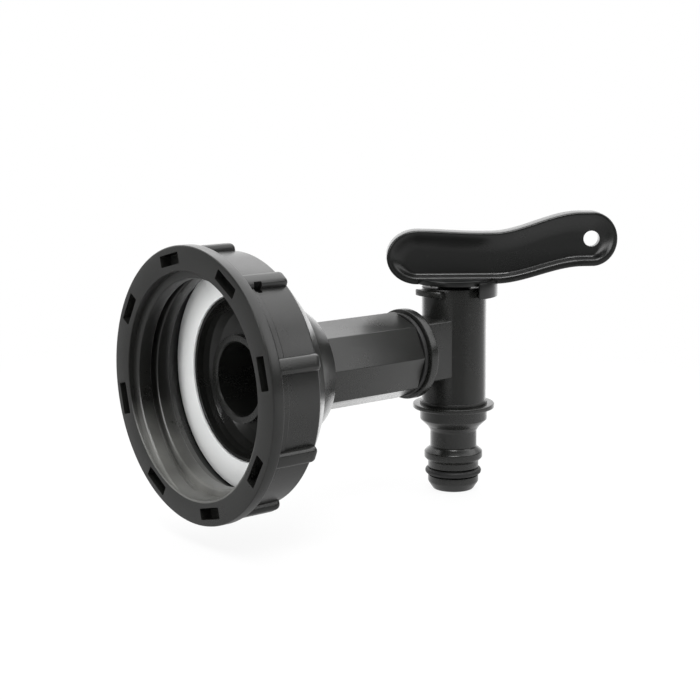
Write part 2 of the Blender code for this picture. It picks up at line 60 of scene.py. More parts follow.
TAP_X = 78.0
MOUTH_R = 30.3
WASHER_R, WASHER_HOLE_R, WASHER_T = 31.1, 23.0, 2.0
SEAT = WASHER_T + 0.3
FLANGE_R, FLANGE_T, HUB_R = 28.0, 2.2, 23.6
BARREL_END = 55.4
SOCKET_DEPTH = 17.0


# Meshes

def link(obj):
    """Put a new object in the scene."""
    bpy.context.scene.collection.objects.link(obj)
    return obj


def piece_from(name, bm):
    """Make an object of the scene from a bmesh."""
    mesh = bpy.data.meshes.new(name)
    bm.to_mesh(mesh)
    bm.free()
    return link(bpy.data.objects.new(name, mesh))


def evaluated_mesh(obj):
    """The mesh of an object with its modifiers and its place applied."""
    bpy.context.view_layer.update()
    graph = bpy.context.evaluated_depsgraph_get()
    mesh = bpy.data.meshes.new_from_object(obj.evaluated_get(graph))
    mesh.transform(obj.matrix_world)
    return mesh


def settle(obj):
    """Apply everything on an object and turn its faces outwards."""
    mesh = evaluated_mesh(obj)
    bm = bmesh.new()
    bm.from_mesh(mesh)
    bmesh.ops.remove_doubles(bm, verts=bm.verts, dist=0.000002)
    bmesh.ops.recalc_face_normals(bm, faces=bm.faces)
    bm.to_mesh(mesh)
    bm.free()
    obj.modifiers.clear()
    obj.data = mesh
    obj.matrix_world = Matrix()
    return obj


def turned(name, outline, steps, along_x=False, x=0.0):
    """A turned piece from a closed outline of (radius, height) pairs."""
    mesh = bpy.data.meshes.new(name)
    count = len(outline)
    edges = [(i, (i + 1) % count) for i in range(count)]
    edges = [(a, b) for a, b in edges if outline[a][0] > 0.0 or outline[b][0] > 0.0]
    mesh.from_pydata([(r * MM, 0.0, h * MM) for r, h in outline], edges, [])
    obj = link(bpy.data.objects.new(name, mesh))
    screw = obj.modifiers.new("turn", "SCREW")
    screw.axis = "Z"
    screw.steps = screw.render_steps = steps
    screw.use_merge_vertices = True
    screw.merge_threshold = 0.00001
    if along_x:
        obj.rotation_euler = (0.0, math.pi / 2, 0.0)
    obj.location = (x * MM, 0.0, 0.0)
    return settle(obj)


def rounded(points, radii):
    """A closed outline with its corners rounded; radii maps a corner's index to its radius."""
    out = []
    count = len(points)
    for i, point in enumerate(points):
        radius = radii.get(i, 0.0)
        here = Vector(point)
        before = Vector(points[i - 1]) - here
        after = Vector(points[(i + 1) % count]) - here
        if radius <= 0.0:
            out.append(tuple(here))
            continue
        half = before.angle(after) / 2
        reach = min(radius / math.tan(half), 0.49 * before.length, 0.49 * after.length)
        start = here + before.normalized() * reach
        end = here + after.normalized() * reach
        steps = 3 if radius < 0.7 else 6
        for k in range(steps + 1):
            t = k / steps
            out.append(tuple(start * (1 - t) ** 2 + here * 2 * t * (1 - t) + end * t ** 2))
    return out


def lofted(name, rings):
    """A solid piece through a row of equal rings of points, closed at both ends."""
    bm = bmesh.new()
    rows = [[bm.verts.new(Vector(point) * MM) for point in ring] for ring in rings]
    bm.faces.new(rows[0])
    bm.faces.new(rows[-1][::-1])
    for one, two in zip(rows, rows[1:]):
        for i in range(len(one)):
            j = (i + 1) % len(one)
            bm.faces.new((one[i], one[j], two[j], two[i]))
    bmesh.ops.recalc_face_normals(bm, faces=bm.faces)
    return piece_from(name, bm)


def plate(name, points, low, high, plane="XZ"):
    """A closed plate over a flat outline; plane XZ stands along Y, XY lies along Z."""
    if plane == "XZ":
        rings = [[(a, level, b) for a, b in points] for level in (low, high)]
    else:
        rings = [[(a, b, level) for a, b in points] for level in (low, high)]
    return lofted(name, rings)


def rod(name, radius, low, high, steps, along_x=False, x=0.0):
    """A round rod."""
    return turned(name, [(0.0, low), (radius, low), (radius, high), (0.0, high)],
                  steps, along_x, x)


def soften(obj, width, segments, angle=30.0):
    """Round the edges of a piece."""
    bevel = obj.modifiers.new("soft", "BEVEL")
    bevel.width = width * MM
    bevel.segments = segments
    bevel.limit_method = "ANGLE"
    bevel.angle_limit = math.radians(angle)
    return settle(obj)


def cut(obj, other, operation="DIFFERENCE"):
    """Cut a piece with another one, or join the two."""
    boolean = obj.modifiers.new("cut", "BOOLEAN")
    boolean.operation = operation
    boolean.solver = "EXACT"
    boolean.object = other
    settle(obj)
    bpy.data.objects.remove(other, do_unlink=True)


def join(obj, other):
    """Fuse a piece with another one."""
    cut(obj, other, "UNION")


def smooth(obj, angle=32.0):
    """Smooth shading that keeps the sharp edges."""
    obj.data.shade_smooth()
    obj.data.set_sharp_from_angle(angle=math.radians(angle))
    return obj


def finish(obj, material, body, node):
    """Give a piece its finish, attach it to its body and hide the imported solid it stands in for.
    """
    obj.data.materials.clear()
    obj.data.materials.append(material)
    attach(obj, body)
    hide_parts(node)


def ease(t):
    """A smooth step from 0 to 1."""
    t = max(0.0, min(1.0, t))
    return t * t * (3 - 2 * t)


# Materials

class Value:
    """A shader socket that adds Math nodes when it is used in an expression."""

    def __init__(self, shading, socket):
        self.shading, self.socket = shading, socket

    def _math(self, operation, a, b):
        node = self.shading.node("ShaderNodeMath", {"operation": operation}, {0: a, 1: b})
        return Value(self.shading, node.outputs[0])

    def __add__(self, other):
        return self._math("ADD", self, other)

    __radd__ = __add__

    def __mul__(self, other):
        return self._math("MULTIPLY", self, other)

    __rmul__ = __mul__

    def __sub__(self, other):
        return self._math("SUBTRACT", self, other)

    def __rsub__(self, other):
        return self._math("SUBTRACT", other, self)

    def above(self, other):
        return self._math("GREATER_THAN", self, other)

    def below(self, other):
        return self._math("LESS_THAN", self, other)

    def clamped(self):
        return self._math("MINIMUM", self._math("MAXIMUM", self, 0.0), 1.0)


class Shading:
    """The node tree of a material or of the sky; every node is added through node()."""

    def __init__(self, tree):
        self.tree = tree

    def node(self, kind, settings=None, values=None):
        """Add a node; its settings come first, then the values or links of its sockets."""
        node = self.tree.nodes.new(kind)
        for key, value in (settings or {}).items():
            setattr(node, key, value)
        for key, value in (values or {}).items():
            self.feed(node.inputs[key], value)
        return node

    def feed(self, socket, value):
        """Set a socket to a number, a colour or another socket."""
        if isinstance(value, Value):
            value = value.socket
        if isinstance(value, bpy.types.NodeSocket):
            self.tree.links.new(value, socket)
        else:
            socket.default_value = value

    def value(self, node, output=0):
        """An output of a node, to use in an expression."""
        return Value(self, node.outputs[output])

    def place(self):
        """The piece's own coordinates, which are metres in the shared frame."""
        return self.node("ShaderNodeTexCoord").outputs["Object"]

    def places(self):
        """The piece's own coordinates as X, Y and Z."""
        split = self.node("ShaderNodeSeparateXYZ", {}, {0: self.place()})
        return [self.value(split, axis) for axis in "XYZ"]

    def noise(self, scale, detail):
        """A cloudy pattern from 0 to 1 over the piece."""
        values = {"Vector": self.place(), "Scale": scale, "Detail": detail}
        return self.value(self.node("ShaderNodeTexNoise", {}, values), "Fac")

    def mix(self, factor, low, high):
        """A colour between two colours."""
        node = self.node("ShaderNodeMix", {"data_type": "RGBA"}, {0: factor, 6: low, 7: high})
        return node.outputs[2]

    def bump(self, height, strength):
        """A finely rough surface from a pattern."""
        values = {"Height": height, "Strength": strength, "Distance": GRAIN_HEIGHT}
        return self.node("ShaderNodeBump", {}, values).outputs[0]


class Finish(Shading):
    """One material with its main shader."""

    def __init__(self, name, **constants):
        self.material = bpy.data.materials.new(name)
        self.material.use_nodes = True
        super().__init__(self.material.node_tree)
        self.shader = self.tree.nodes["Principled BSDF"]
        for socket, value in constants.items():
            self.shader.inputs[socket.replace("_", " ")].default_value = value

    def put(self, name, value):
        """Set one of the main shader's sockets."""
        self.feed(self.shader.inputs[name], value)


GRAIN_HEIGHT = 0.0001
# Painted light: a pale tone painted on the lower inside of the nut's mouth, where the overhead
# light falls.
PAINTED_LIGHT_COLOUR = (0.17, 0.17, 0.16, 1.0)
PAINTED_LIGHT_TOP, PAINTED_LIGHT_FADE = -0.008, 90.0


def moulded_plastic(name, colour, rough, grain, gloss=0.5, painted_light=0.0):
    """Black satin plastic: fine mould grain, cloudy gloss, a few pale specks.

    Where painted_light is given, a pale painted light lies in patches in the lower part of the
    nut's mouth, standing in for the overhead light that falls there.
    """
    f = Finish(name, IOR=1.52, Specular_IOR_Level=gloss)
    cloud = f.noise(60.0, 4.0)
    fine = f.noise(2600.0, 2.0)
    speck = f.noise(900.0, 1.0).above(0.745)
    f.put("Roughness", (cloud - 0.5) * 0.16 + (fine - 0.5) * 0.05 + rough)
    dark = (*colour, 1.0)
    light = tuple(c * 1.5 + 0.004 for c in colour) + (1.0,)
    shade = f.mix(((cloud - 0.35) * 0.6 + speck * 0.8).clamped(), dark, light)
    # Painted light: the lower inside of the mouth, before the washer, is made paler in patches, as
    # if lit from above.
    if painted_light:
        x, y, z = f.places()
        inside = (y * y + z * z).below((MOUTH_R * MM + 0.0007) ** 2)
        before_washer = (x + 0.0005).below(0.0)
        low = ((z - PAINTED_LIGHT_TOP) * -PAINTED_LIGHT_FADE).clamped()
        patches = (cloud * 1.4 - 0.2).clamped()
        shade = f.mix(low * inside * before_washer * patches * painted_light, shade, PAINTED_LIGHT_COLOUR)
    f.put("Base Color", shade)
    f.put("Normal", f.bump(fine + cloud * 1.5, grain))
    return f.material


def white_plastic():
    """Smooth white washer with a faint grain and a hint of grey."""
    f = Finish("washer_white", Roughness=0.5)
    cloud = f.noise(90.0, 4.0)
    f.put("Base Color", f.mix(cloud, (0.74, 0.75, 0.745, 1.0), (0.81, 0.82, 0.815, 1.0)))
    f.put("Normal", f.bump(f.noise(1200.0, 2.0), 0.15))
    return f.material


def dull_rubber():
    """Dull black rubber."""
    f = Finish("ring_rubber")
    cloud = f.noise(150.0, 3.0)
    f.put("Roughness", cloud * 0.15 + 0.5)
    f.put("Base Color", f.mix(cloud, (0.005, 0.005, 0.005, 1.0), (0.009, 0.009, 0.009, 1.0)))
    return f.material


NUT = moulded_plastic("nut_black", (0.0075, 0.0077, 0.0070), rough=0.30, grain=0.24, painted_light=1.0)
BODY = moulded_plastic("body_black", (0.0095, 0.0098, 0.0090), rough=0.28, grain=0.12)
LEVER = moulded_plastic("lever_black", (0.004, 0.0043, 0.004), rough=0.30, grain=0.08, gloss=0.40)
WHITE = white_plastic()
RUBBER = dull_rubber()


# Rings of equal pieces, by Geometry Nodes

def ring_tree():
    """A node tree that sets copies of a piece around the X axis."""
    tree = bpy.data.node_groups.new("ring_around_pipe", "GeometryNodeTree")
    tree.interface.new_socket("Geometry", in_out="INPUT", socket_type="NodeSocketGeometry")
    for name, kind in (("Count", "NodeSocketInt"), ("First angle", "NodeSocketFloat"),
                       ("Finish", "NodeSocketMaterial")):
        tree.interface.new_socket(name, in_out="INPUT", socket_type=kind)
    tree.interface.new_socket("Geometry", in_out="OUTPUT", socket_type="NodeSocketGeometry")
    add, link_up = tree.nodes.new, tree.links.new
    given, result = add("NodeGroupInput"), add("NodeGroupOutput")
    points, index = add("GeometryNodePoints"), add("GeometryNodeInputIndex")
    share, turn, start = add("ShaderNodeMath"), add("ShaderNodeMath"), add("ShaderNodeMath")
    share.operation, turn.operation, start.operation = "DIVIDE", "MULTIPLY", "ADD"
    turn.inputs[1].default_value = 2 * math.pi
    euler, copies = add("ShaderNodeCombineXYZ"), add("GeometryNodeInstanceOnPoints")
    real, paint = add("GeometryNodeRealizeInstances"), add("GeometryNodeSetMaterial")
    link_up(given.outputs["Count"], points.inputs["Count"])
    link_up(index.outputs[0], share.inputs[0])
    link_up(given.outputs["Count"], share.inputs[1])
    link_up(share.outputs[0], turn.inputs[0])
    link_up(turn.outputs[0], start.inputs[0])
    link_up(given.outputs["First angle"], start.inputs[1])
    link_up(start.outputs[0], euler.inputs["X"])
    link_up(points.outputs[0], copies.inputs["Points"])
    link_up(given.outputs["Geometry"], copies.inputs["Instance"])
    link_up(euler.outputs[0], copies.inputs["Rotation"])
    link_up(copies.outputs[0], real.inputs[0])
    link_up(real.outputs[0], paint.inputs["Geometry"])
    link_up(given.outputs["Finish"], paint.inputs["Material"])
    link_up(paint.outputs[0], result.inputs[0])
    return tree


RING = ring_tree()


def ring_of(obj, count, first_degrees, material):
    """Repeat a piece around the pipe axis and make the ring one mesh."""
    settle(obj)
    nodes = obj.modifiers.new("ring", "NODES")
    nodes.node_group = RING
    names = {item.name: item.identifier for item in RING.interface.items_tree
             if item.in_out == "INPUT"}
    nodes[names["Count"]] = count
    nodes[names["First angle"]] = math.radians(first_degrees)
    nodes[names["Finish"]] = material
    return settle(obj)


# Coupling nut

NUT_FRONT, NUT_BACK, NUT_BACK_R = -16.5, 7.0, 27.9
BAND_R, BAND_LEN, NUT_R = 37.3, 3.4, 34.9
STEP_RISE, STEP_LEN = 0.4, 2.9
RELIEF = 2.05
CREST_R, THREAD_PITCH, THREAD_TURNS = 28.3, 6.0, 1.53
THREAD_START, THREAD_PHASE, THREAD_FADE = -13.9, 275.0, 13
RIB_R, RIB_FOOT_R, RIB_WIDTH, RIB_BACK = 36.7, 32.6, 4.4, 0.4
RIB_PHASE, RIB_COUNT = 15.5, 9
POCKET_R, POCKET_LENGTH, POCKET_WIDTH, POCKET_DEPTH = 33.8, 8.8, 3.1, 3.3
POCKET_PHASE, POCKET_COUNT = 14.0, 8
NOTCH = 2.4


def thread_ridge():
    """The coarse inner thread: a broad ridge with rounded edges that fades at both ends."""
    per_turn = 90
    count = int(THREAD_TURNS * per_turn)
    root = MOUTH_R + 0.45
    side = [(2.45, 0.0), (2.34, 0.3), (2.2, 0.7), (2.04, 0.88), (1.82, 0.97), (1.5, 1.0)]
    profile = [(-along, rise) for along, rise in side] + side[::-1]
    rings = []
    for i in range(count + 1):
        angle = 2 * math.pi * i / per_turn + math.radians(THREAD_PHASE)
        x = THREAD_START + THREAD_PITCH * i / per_turn
        full = 0.08 + 0.92 * ease(min(i, count - i) / THREAD_FADE)
        ring = []
        for along, rise in profile:
            r = root - (root - CREST_R) * rise * full
            ring.append((x + along, r * math.cos(angle), r * math.sin(angle)))
        rings.append(ring)
    return lofted("ridge", rings)


def grip_rib():
    """One rounded rib on the +Z side, with a round back corner."""
    front = NUT_FRONT + BAND_LEN - 1.9
    outline = [(front, RIB_FOOT_R), (RIB_BACK, RIB_FOOT_R), (RIB_BACK, RIB_R), (front, RIB_R)]
    rib = plate("rib", rounded(outline, {2: 2.8}), -RIB_WIDTH / 2, RIB_WIDTH / 2)
    return soften(rib, 1.25, 5, 40.0)


def foot_notch():
    """The small square pocket at the foot of one rib, just behind the band."""
    front, side = NUT_FRONT + BAND_LEN + 2.2, -RIB_WIDTH / 2 - 0.55 * NOTCH
    far = side + 0.92 * NOTCH
    square = [(front, side), (front + NOTCH, side), (front + NOTCH, far), (front, far)]
    notch = plate("notch", rounded(square, {k: 0.3 for k in range(4)}), NUT_R - 1.4, RIB_R + 1.0,
                  "XY")
    notch.rotation_euler = (math.radians(90.0 - RIB_PHASE - 360.0 / RIB_COUNT), 0.0, 0.0)
    return settle(notch)


def front_pocket():
    """One rectangular pocket in the front ring, on the +Z side."""
    wide = POCKET_LENGTH / 2
    low, high = POCKET_R - POCKET_WIDTH / 2, POCKET_R + POCKET_WIDTH / 2
    outline = rounded([(-wide, low), (wide, low), (wide, high), (-wide, high)],
                      {k: 0.35 for k in range(4)})
    pocket = plate("pocket", outline, NUT_FRONT - 1.0, NUT_FRONT + POCKET_DEPTH)
    pocket.matrix_world = Matrix(((0, 1, 0, 0), (1, 0, 0, 0), (0, 0, 1, 0), (0, 0, 0, 1)))
    return pocket


def coupling_nut():
    """Band, body, cone back and inner lip, with ribs, front pockets and thread."""
    band_end = NUT_FRONT + BAND_LEN
    lip = WASHER_T + FLANGE_T + 0.6
    outline = [
        (MOUTH_R + 0.2, NUT_FRONT), (BAND_R, NUT_FRONT), (BAND_R, band_end),
        (NUT_R + STEP_RISE, band_end + 0.6), (NUT_R + STEP_RISE - 0.05, band_end + STEP_LEN),
        (NUT_R, band_end + STEP_LEN + 0.3), (NUT_R - 0.3, 0.1), (NUT_BACK_R, NUT_BACK - 0.1),
        (NUT_BACK_R - 0.5, NUT_BACK), (HUB_R + 0.5, NUT_BACK), (HUB_R + 0.5, lip),
        (FLANGE_R + 0.4, lip), (FLANGE_R + 0.4, SEAT), (WASHER_R + 0.3, SEAT),
        (WASHER_R + 0.3, -RELIEF), (MOUTH_R + 0.2, -RELIEF - 0.25),
    ]
    radii = {0: 0.35, 1: 0.6, 2: 0.5, 3: 0.5, 4: 0.15, 5: 0.15, 6: 0.9, 7: 0.4, 9: 0.4}
    nut = turned("nut", rounded(outline, radii), 144, along_x=True)
    join(nut, ring_of(grip_rib(), RIB_COUNT, 90.0 - RIB_PHASE, NUT))
    join(nut, thread_ridge())
    cut(nut, ring_of(front_pocket(), POCKET_COUNT, 90.0 - POCKET_PHASE, NUT))
    cut(nut, foot_notch())
    return smooth(nut)


finish(coupling_nut(), NUT, "nut", "coupling_nut")


# Washer

def washer():
    """Flat white ring with slightly rounded edges."""
    outline = [(WASHER_HOLE_R, 0.0), (WASHER_R, 0.0), (WASHER_R, WASHER_T),
               (WASHER_HOLE_R, WASHER_T)]
    return smooth(turned("washer", rounded(outline, {k: 0.25 for k in range(4)}), 144,
                         along_x=True))


finish(washer(), WHITE, "adapter", "seal_washer")


# Adapter body

LIP_R, LIP_WALL, LIP_FRONT = 22.7, 0.9, 0.3
CONE = ((HUB_R, 9.6), (17.0, 19.3), (15.9, 20.0), (11.2, 21.9), (11.2, 29.2))
TUBE_R, TUBE_FRONT, TUBE_FLARE_R = 12.1, -0.9, 11.75
DISH_DEPTH = 7.9
# Radius, and height above the deepest line of the dish.
DISH = ((TUBE_R, 1.4), (13.6, 1.2), (17.2, 0.0), (19.6, -1.8), (21.1, -3.8), (21.7, -5.4))
BORE_R, SOCKET_R = 10.0, 10.6
BARREL_FRONT, BARREL_R, BARREL_SIDES, BARREL_TURN = 17.4, 12.6, 8, 3.0


def barrel():
    """The eight-sided barrel, turned a little about the pipe."""
    angles = [math.radians(360 / BARREL_SIDES * k + BARREL_TURN) for k in range(BARREL_SIDES)]
    sides = [(BARREL_R * math.cos(a), BARREL_R * math.sin(a)) for a in angles]
    outline = rounded(sides, {k: 0.5 for k in range(BARREL_SIDES)})
    obj = plate("barrel", outline, BARREL_FRONT, BARREL_END, "XY")
    obj.matrix_world = Matrix(((0, 0, 1, 0), (-1, 0, 0, 0), (0, 1, 0, 0), (0, 0, 0, 1)))
    return soften(obj, 0.25, 2, 60.0)


def adapter_body():
    """Flange, lip, round dish, centre tube, cone and eight-sided barrel."""
    outline = [
        (LIP_R - LIP_WALL, LIP_FRONT), (LIP_R, LIP_FRONT), (LIP_R, SEAT), (FLANGE_R, SEAT),
        (FLANGE_R, SEAT + FLANGE_T), (HUB_R, SEAT + FLANGE_T), *CONE, (0.0, CONE[-1][1]),
        (0.0, TUBE_FRONT), (TUBE_R, TUBE_FRONT), *((r, DISH_DEPTH + up) for r, up in DISH),
    ]
    radii = {0: 0.25, 1: 0.25, 4: 0.3, 5: 0.3, 6: 0.5, 7: 0.9, 8: 0.5, 13: 0.25, 14: 0.5,
             15: 1.2, 16: 1.5, 17: 1.5, 18: 1.2, 19: 0.8}
    body = turned("adapter", rounded(outline, radii), 144, along_x=True)
    join(body, barrel())
    socket = BARREL_END - SOCKET_DEPTH
    bore = [(0.0, -2.5), (TUBE_FLARE_R, -2.5), (BORE_R, -0.5), (BORE_R, socket),
            (SOCKET_R, socket), (SOCKET_R, BARREL_END + 1.0), (0.0, BARREL_END + 1.0)]
    cut(body, turned("bore", bore, 120, along_x=True))
    return smooth(body, 28.0)


finish(adapter_body(), BODY, "adapter", "adapter_body")


def gasket():
    """The black ring between the barrel and the tap's disc."""
    low, high, inner, outer = BARREL_END + 0.3, BARREL_END + 1.7, 10.7, 12.2
    outline = [(inner, low), (outer, low), (outer, high), (inner, high)]
    return smooth(turned("gasket", rounded(outline, {1: 0.3, 2: 0.3}), 96, along_x=True))


finish(gasket(), RUBBER, "adapter", "inlet_gasket")


# Tap body

CYLINDER_R, CYLINDER_TOP = 9.65, 18.2
WELL_R, WELL_LOW = 7.3, -12.5
COLLAR_R, COLLAR_TOP, COLLAR_LOW = 12.25, -17.1, -18.5
SHOULDER_R, SHOULDER_LOW = 10.1, -21.9
NECK_R, LATCH_R, END_R, NIPPLE_BORE_R = 7.0, 8.75, 7.6, 5.0
GROOVE_R, GROOVE_TOP, GROOVE_LOW = 6.25, -36.75, -39.25
NIPPLE_END = -43.5
DISC_X, DISC_R, DISC_T = BARREL_END + 2.0, 13.2, 2.9
SPIGOT_R, SPIGOT_LENGTH, SPIGOT_BORE_R = 10.3, 16.0, 6.0
BLOCK_LOW, BLOCK_TOP, BLOCK_HALF = -8.2, 9.4, 6.7
STOP_R, STOP_INNER_R, STOP_LOW, STOP_TOP = 12.2, 8.6, 16.0, 17.8
STOP_ANGLES = ((157.6, 209.6), (-10.0, 42.0))


def stop(start, end, steps=16):
    """One of the two stops beside the cylinder's top, between two angles in degrees."""
    spans = [math.radians(start + (end - start) * i / steps) for i in range(steps + 1)]
    ring = [(STOP_R * math.cos(a), STOP_R * math.sin(a)) for a in spans]
    ring += [(STOP_INNER_R * math.cos(a), STOP_INNER_R * math.sin(a)) for a in reversed(spans)]
    obj = plate("stop", ring, STOP_LOW, STOP_TOP, "XY")
    obj.location = (TAP_X * MM, 0.0, 0.0)
    return soften(obj, 0.25, 2, 50.0)


def inlet():
    """The disc and the spigot that goes into the barrel."""
    outline = [(0.0, DISC_X - SPIGOT_LENGTH), (SPIGOT_R - 0.5, DISC_X - SPIGOT_LENGTH),
               (SPIGOT_R, DISC_X - SPIGOT_LENGTH + 0.6), (SPIGOT_R, DISC_X), (DISC_R, DISC_X),
               (DISC_R, DISC_X + DISC_T), (0.0, DISC_X + DISC_T)]
    return turned("spigot", rounded(outline, {4: 0.4, 5: 0.7}), 128, along_x=True)


def tap_body():
    """Cylinder, neck block, disc with spigot, two stops and the snap-on nipple."""
    outline = [
        (NIPPLE_BORE_R, WELL_LOW), (WELL_R, WELL_LOW), (WELL_R, CYLINDER_TOP),
        (CYLINDER_R, CYLINDER_TOP), (CYLINDER_R, COLLAR_TOP + 0.9),
        (SHOULDER_R, COLLAR_TOP + 0.9), (SHOULDER_R, COLLAR_TOP), (COLLAR_R, COLLAR_TOP),
        (COLLAR_R, COLLAR_LOW), (SHOULDER_R, COLLAR_LOW), (SHOULDER_R, SHOULDER_LOW),
        (7.9, -24.0), (NECK_R, -25.4), (NECK_R, -30.4), (LATCH_R, -31.9), (LATCH_R, -33.7),
        (END_R, -34.9), (END_R, GROOVE_TOP), (GROOVE_R, GROOVE_TOP), (GROOVE_R, GROOVE_LOW),
        (END_R, GROOVE_LOW), (END_R, -41.2), (6.2, NIPPLE_END + 0.2), (6.0, NIPPLE_END),
        (NIPPLE_BORE_R, NIPPLE_END),
    ]
    radii = {3: 0.35, 4: 0.2, 7: 0.45, 8: 0.4, 9: 0.3, 10: 0.6, 11: 0.8, 12: 1.2, 13: 1.0,
             14: 0.5, 15: 0.5, 16: 0.5, 17: 0.2, 20: 0.2, 21: 1.2, 22: 0.4}
    body = turned("tap", rounded(outline, radii), 128, x=TAP_X)
    join(body, inlet())
    block = [(DISC_X + 0.5, BLOCK_LOW), (TAP_X, BLOCK_LOW), (TAP_X, BLOCK_TOP),
             (DISC_X + 0.5, BLOCK_TOP)]
    join(body, soften(plate("block", block, -BLOCK_HALF, BLOCK_HALF), 0.8, 4))
    for start, end in STOP_ANGLES:
        join(body, stop(start, end))
    cut(body, rod("well", WELL_R, WELL_LOW, CYLINDER_TOP + 0.8, 96, x=TAP_X))
    cut(body, rod("water", SPIGOT_BORE_R, DISC_X - SPIGOT_LENGTH - 2.0, TAP_X - 2.0, 64,
                  along_x=True))
    return smooth(body)


finish(tap_body(), BODY, "adapter", "tap_body")


def nipple_ring():
    """The rubber ring in the nipple's groove."""
    middle_r, cord_r, steps = 7.5, 0.95, 20
    height = (GROOVE_TOP + GROOVE_LOW) / 2
    angles = [2 * math.pi * i / steps for i in range(steps)]
    cord = [(middle_r + cord_r * math.cos(a), height + cord_r * math.sin(a)) for a in angles]
    return smooth(turned("nipple_ring", cord, 96, x=TAP_X), 80.0)


finish(nipple_ring(), RUBBER, "adapter", "nipple_o_ring")


# Lever

LEVER_ANGLE = -38.0
HUB_LOW, HUB_T, HUB_DISC_R = 19.25, 1.6, 11.5
HANG_HOLE, HANG_HOLE_R = (40.5, 32.1), 2.35
BLADE_LOW, BLADE_TOP, BLADE_DIP, BLADE_HALF = 19.1, 35.1, 0.8, 3.5
BLADE_LEFT, ROUND_LEFT, ROUND_RIGHT = -20.2, -11.0, 38.0
LOW_BEND, TOP_BEND, BEND_LENGTH = 12.0, 11.0, 26.0
DIP_START, DIP_LENGTH = -12.0, 20.0
TIP_TALL, TIP_WIDE = 8.0, 7.4
# The recess, from its floor out: depth from the blade's middle, how far its low edge is set in,
# and how far its other edges have opened, from 0 to 1.
RECESS = ((1.2, 3.4, 0.0), (1.26, 2.9, 0.12), (1.5, 2.6, 0.3), (1.98, 2.45, 0.5),
          (2.4, 2.36, 0.64), (2.8, 2.27, 0.76), (3.04, 2.18, 0.83), (3.24, 2.02, 0.9),
          (3.38, 1.82, 0.95), (3.5, 1.5, 1.0), (4.6, 1.5, 1.0))
RECESS_TOP, RECESS_END, RECESS_OPENING = 6.2, 6.4, 5.4
LUG_R, LUG_INNER_R, LUG_FLAT, LUG_END, LUG_LOW = 13.0, 10.15, 6.4, -12.0, 15.5


def blade(inset_low, inset_top, inset_end, steps=36):
    """The lever's side view: low edge, raised tip, top edge and round left end."""
    tip_x, tip_z = HANG_HOLE
    length = ROUND_RIGHT - ROUND_LEFT
    low_rise = tip_z - TIP_TALL - BLADE_LOW
    top_rise = tip_z + TIP_TALL - BLADE_TOP + BLADE_DIP
    points = []
    for i in range(steps + 1):
        s = ROUND_LEFT + length * i / steps
        rise = low_rise * ease((s - LOW_BEND) / BEND_LENGTH)
        points.append((s, BLADE_LOW + inset_low + rise))
    tall, wide = TIP_TALL - (inset_low + inset_top) / 2, TIP_WIDE - inset_end
    centre = tip_z + (inset_low - inset_top) / 2
    for i in range(1, steps):
        a = math.radians(-90 + 180 * i / steps)
        points.append((tip_x + wide * math.cos(a), centre + tall * math.sin(a)))
    for i in range(steps + 1):
        s = ROUND_RIGHT - length * i / steps
        rise = top_rise * ease((s - TOP_BEND) / BEND_LENGTH)
        dip = BLADE_DIP * ease((s - DIP_START) / DIP_LENGTH)
        points.append((s, BLADE_TOP - inset_top - dip + rise))
    middle = (points[0][1] + points[-1][1]) / 2
    tall, wide = (points[-1][1] - points[0][1]) / 2, ROUND_LEFT - BLADE_LEFT - inset_end
    for i in range(1, steps):
        a = math.radians(90 + 180 * i / steps)
        points.append((ROUND_LEFT + wide * math.cos(a), middle + tall * math.sin(a)))
    return points


def recess(side):
    """The recess on one side of the blade: a shelf with a round edge below, long slopes around."""
    rings = []
    for depth, low, opened in RECESS:
        outline = blade(low, RECESS_TOP - RECESS_OPENING * opened,
                        RECESS_END - RECESS_OPENING * opened)
        rings.append([(s, side * depth, z) for s, z in outline])
    return lofted("recess", rings)


def stop_lug(steps=12):
    """The lug under the hub disc, with one flat end across the lever."""
    arcs = [(LUG_R, -math.degrees(math.acos(LUG_FLAT / LUG_R)), LUG_END),
            (LUG_INNER_R, LUG_END, -math.degrees(math.acos(LUG_FLAT / LUG_INNER_R)))]
    ring = []
    for r, first, last in arcs:
        spans = [math.radians(first + (last - first) * i / steps) for i in range(steps + 1)]
        ring += [(r * math.cos(a), r * math.sin(a)) for a in spans]
    return soften(plate("lug", ring, LUG_LOW, HUB_LOW + 1.0, "XY"), 0.25, 2, 50.0)


def lever():
    """Rimmed blade on a hub disc with one stop lug."""
    obj = soften(plate("handle", blade(0.0, 0.0, 0.0), -BLADE_HALF, BLADE_HALF), 0.55, 4, 50.0)
    for side in (-1, 1):
        cut(obj, recess(side))
    hub = [(0.0, HUB_LOW), (HUB_DISC_R, HUB_LOW), (HUB_DISC_R, HUB_LOW + HUB_T),
           (0.0, HUB_LOW + HUB_T)]
    join(obj, turned("hub", rounded(hub, {1: 0.3, 2: 0.35}), 96))
    join(obj, stop_lug())
    cut(obj, rod("seat", 5.3, HUB_LOW - 1.0, HUB_LOW + 1.1, 64))
    hole = rod("hole", HANG_HOLE_R, -8.0, 8.0, 64)
    hole.rotation_euler = (math.pi / 2, 0.0, 0.0)
    hole.location = (HANG_HOLE[0] * MM, 0.0, HANG_HOLE[1] * MM)
    cut(obj, hole)
    obj.location = (TAP_X * MM, 0.0, 0.0)
    obj.rotation_euler = (0.0, 0.0, math.radians(LEVER_ANGLE))
    return smooth(settle(obj))


finish(lever(), LEVER, "valve", "lever")


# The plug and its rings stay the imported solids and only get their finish.

for node, material in (("valve_plug", LEVER), ("plug_o_ring_upper", RUBBER),
                       ("plug_o_ring_lower", RUBBER)):
    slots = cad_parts[node].material_slots
    for i in range(len(slots)):
        slots[i].material = material


# Studio, in metres

